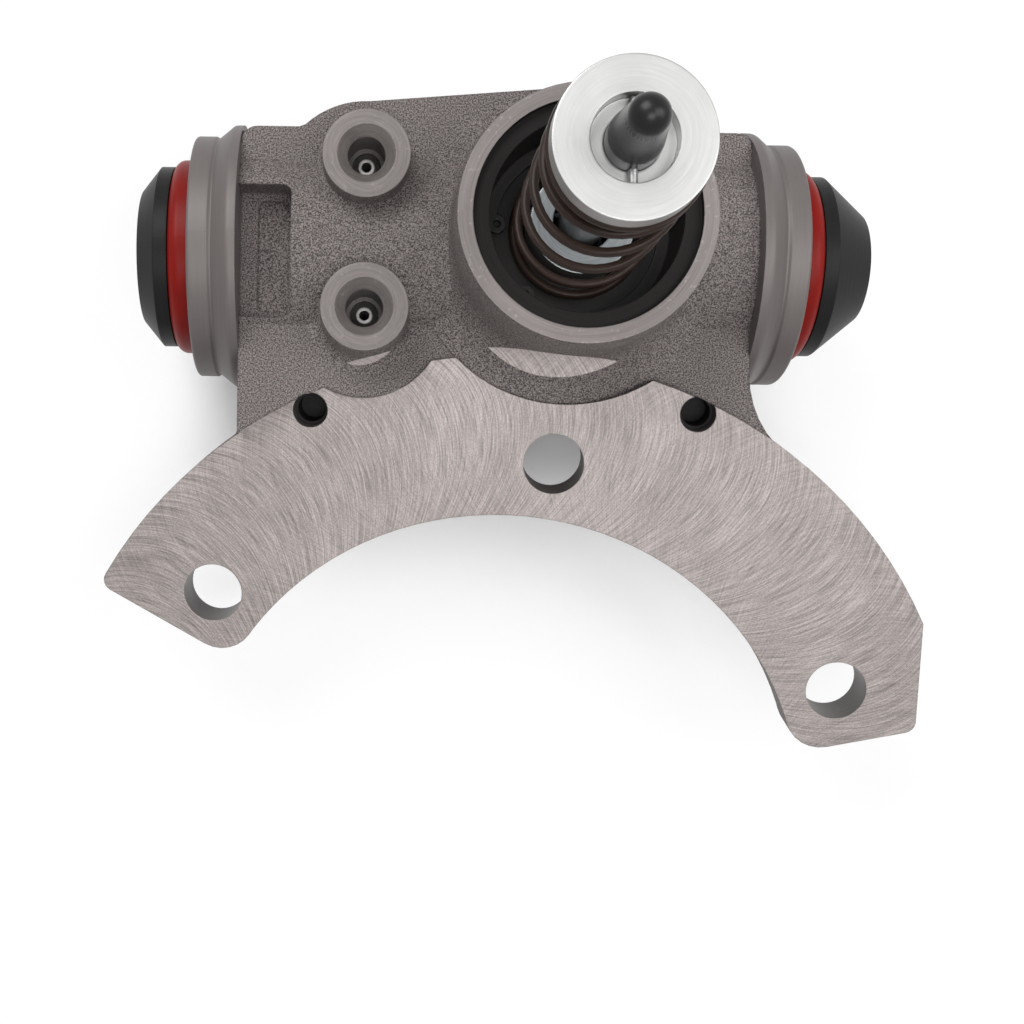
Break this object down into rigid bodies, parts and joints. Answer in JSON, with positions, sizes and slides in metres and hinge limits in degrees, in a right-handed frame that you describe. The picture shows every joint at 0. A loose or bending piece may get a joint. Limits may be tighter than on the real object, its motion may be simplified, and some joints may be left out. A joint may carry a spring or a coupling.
{
  "type": "wheel cylinder",
  "caption": "Cast-iron wheel cylinder with opposed cone-headed pistons, an arc-shaped bolting flange and a spring-loaded wedge rod that spreads them for the parking brake.",
  "frame": {"origin": "where the wedge rod's axis meets the plane of the casting's flat foot", "axes": "+X along the piston bore, away from the oil ports; +Z along the wedge rod, out of the boss; +Y away from the flange's arc"},
  "size_m": [0.2092, 0.1635, 0.1635],
  "materials": {
    "cast_iron": "sand-cast with milled faces",
    "gland_grey": "satin",
    "seal_red": "satin",
    "black_oxide": "black oxide",
    "cup_rubber": "matte",
    "plain_steel": "turned",
    "bright_steel": "turned and plated",
    "rod_steel": "dark",
    "zinc": "zinc plated",
    "spring_brown": "oiled"
  },
  "bodies": {
    "housing": {"housing": "cast_iron", "gland_left": "gland_grey", "gland_right": "gland_grey", "dust_seal_left": "seal_red", "dust_seal_right": "seal_red", "tube_seat_upper": "plain_steel", "tube_seat_lower": "plain_steel", "spring_seat": "black_oxide", "snap_ring": "black_oxide", "return_spring": "spring_brown"},
    "wedge": {"wedge_rod": "rod_steel", "spring_retainer": "bright_steel", "cross_pin": "plain_steel"},
    "cage": {"roller_cage": "zinc"},
    "roller_left": {"roller_left": "plain_steel"},
    "roller_right": {"roller_right": "plain_steel"},
    "plunger_left": {"plunger_left": "plain_steel", "plunger_cup": "cup_rubber", "cup_spring": "plain_steel"},
    "piston_left": {"piston_left": "black_oxide", "piston_cup": "cup_rubber"},
    "plunger_right": {"plunger_right": "black_oxide", "plunger_ring": "cup_rubber"}
  },
  "joints": [
    {"name": "wedge_push", "type": "slide", "parent": "housing", "child": "wedge", "axis": [0, 0, -1], "range_m": [0, 0.016], "stiffness_N_per_m": 2000, "springref_m": -0.005, "deforming": ["return_spring"]},
    {"name": "cage_drop", "type": "slide", "parent": "housing", "child": "cage", "axis": [0, 0, -1], "range_m": [0, 0.008]},
    {"name": "roller_left_shift", "type": "slide", "parent": "cage", "child": "roller_left", "axis": [-1, 0, 0], "range_m": [0, 0.002]},
    {"name": "roller_right_shift", "type": "slide", "parent": "cage", "child": "roller_right", "axis": [1, 0, 0], "range_m": [0, 0.002]},
    {"name": "plunger_left_slide", "type": "slide", "parent": "housing", "child": "plunger_left", "axis": [-1, 0, 0], "range_m": [0, 0.004]},
    {"name": "plunger_right_slide", "type": "slide", "parent": "housing", "child": "plunger_right", "axis": [1, 0, 0], "range_m": [0, 0.004]},
    {"name": "piston_left_slide", "type": "slide", "parent": "plunger_left", "child": "piston_left", "axis": [-1, 0, 0], "range_m": [0, 0.006]}
  ],
  "couplings": [
    {"joint": "cage_drop", "follows": "wedge_push", "ratio": 0.5},
    {"joint": "roller_left_shift", "follows": "wedge_push", "ratio": 0.125},
    {"joint": "roller_right_shift", "follows": "wedge_push", "ratio": 0.125},
    {"joint": "plunger_left_slide", "follows": "wedge_push", "ratio": 0.25},
    {"joint": "plunger_right_slide", "follows": "wedge_push", "ratio": 0.25}
  ]
}
